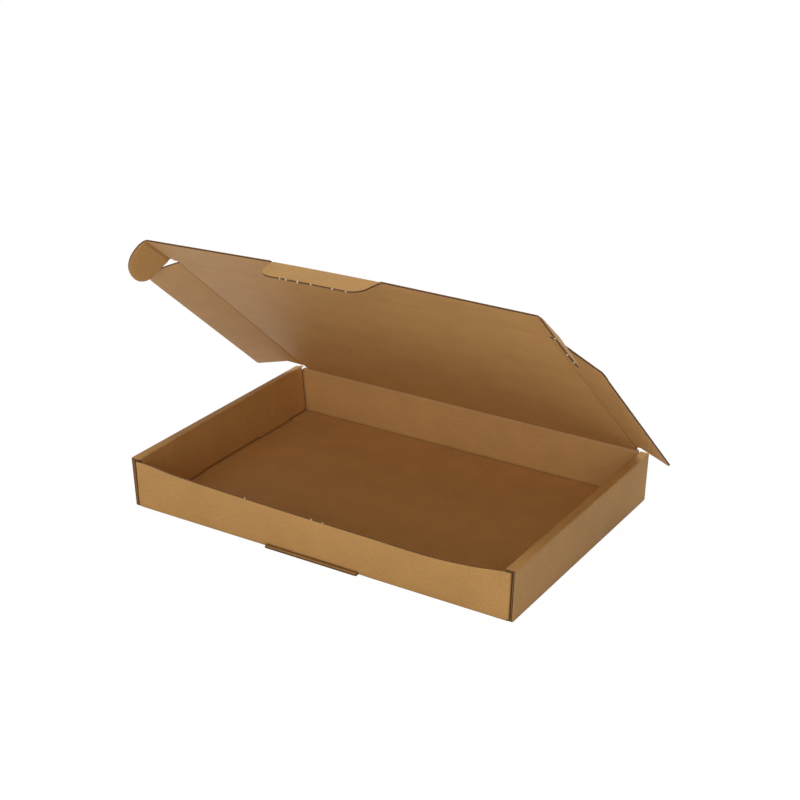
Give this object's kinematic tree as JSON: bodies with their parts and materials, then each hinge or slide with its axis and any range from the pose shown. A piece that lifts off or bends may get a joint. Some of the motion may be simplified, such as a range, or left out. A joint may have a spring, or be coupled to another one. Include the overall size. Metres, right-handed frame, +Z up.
{
  "type": "letterbox mailer box",
  "caption": "Shallow corrugated board mailer tray with rolled-over double side walls, standing open, with a hinged tuck lid, splayed side flaps, ears and a lock tab.",
  "frame": {"origin": "middle of the base's underside, half way along and across the tray's base", "axes": "+X runs to the right along the tray's length, +Y from the front wall to the hinged back wall, +Z up"},
  "size_m": [0.2831, 0.1691, 0.1576],
  "materials": {
    "kraft_board": "matt uncoated kraft liner on single-wall E flute"
  },
  "bodies": {
    "tray": {"tray": "kraft_board"},
    "lid": {"lid_panel": "kraft_board"},
    "left_side_flap": {"left_side_flap": "kraft_board"},
    "right_side_flap": {"right_side_flap": "kraft_board"},
    "tuck_flap": {"tuck_flap": "kraft_board"},
    "left_ear": {"left_ear": "kraft_board"},
    "right_ear": {"right_ear": "kraft_board"},
    "lock_tab": {"lock_tab": "kraft_board"}
  },
  "joints": [
    {"name": "lid_hinge", "type": "hinge", "parent": "tray", "child": "lid", "pos_m": [0, 0.08075, 0.03105], "axis": [-1, 0, 0], "range_deg": [-26.7, 138.3]},
    {"name": "left_side_crease", "type": "hinge", "parent": "lid", "child": "left_side_flap", "pos_m": [-0.1144, 0.01695, 0.08688], "axis": [0, -0.7466, 0.6652], "range_deg": [-17, 38]},
    {"name": "right_side_crease", "type": "hinge", "parent": "lid", "child": "right_side_flap", "pos_m": [0.1144, 0.01695, 0.08688], "axis": [0, 0.7466, -0.6652], "range_deg": [-18.5, 36.5]},
    {"name": "tuck_crease", "type": "hinge", "parent": "lid", "child": "tuck_flap", "pos_m": [0, -0.04111, 0.13862], "axis": [1, 0, 0], "range_deg": [-3, 45]},
    {"name": "left_ear_crease", "type": "hinge", "parent": "tuck_flap", "child": "left_ear", "pos_m": [-0.1196, -0.05224, 0.14753], "axis": [0, 0.7804, -0.6252], "range_deg": [-45, 50]},
    {"name": "right_ear_crease", "type": "hinge", "parent": "tuck_flap", "child": "right_ear", "pos_m": [0.1196, -0.05224, 0.14753], "axis": [0, -0.7804, 0.6252], "range_deg": [-57, 38]},
    {"name": "tab_crease", "type": "hinge", "parent": "tuck_flap", "child": "lock_tab", "pos_m": [0, -0.06226, 0.15557], "axis": [1, 0, 0], "range_deg": [-44, 56]}
  ]
}
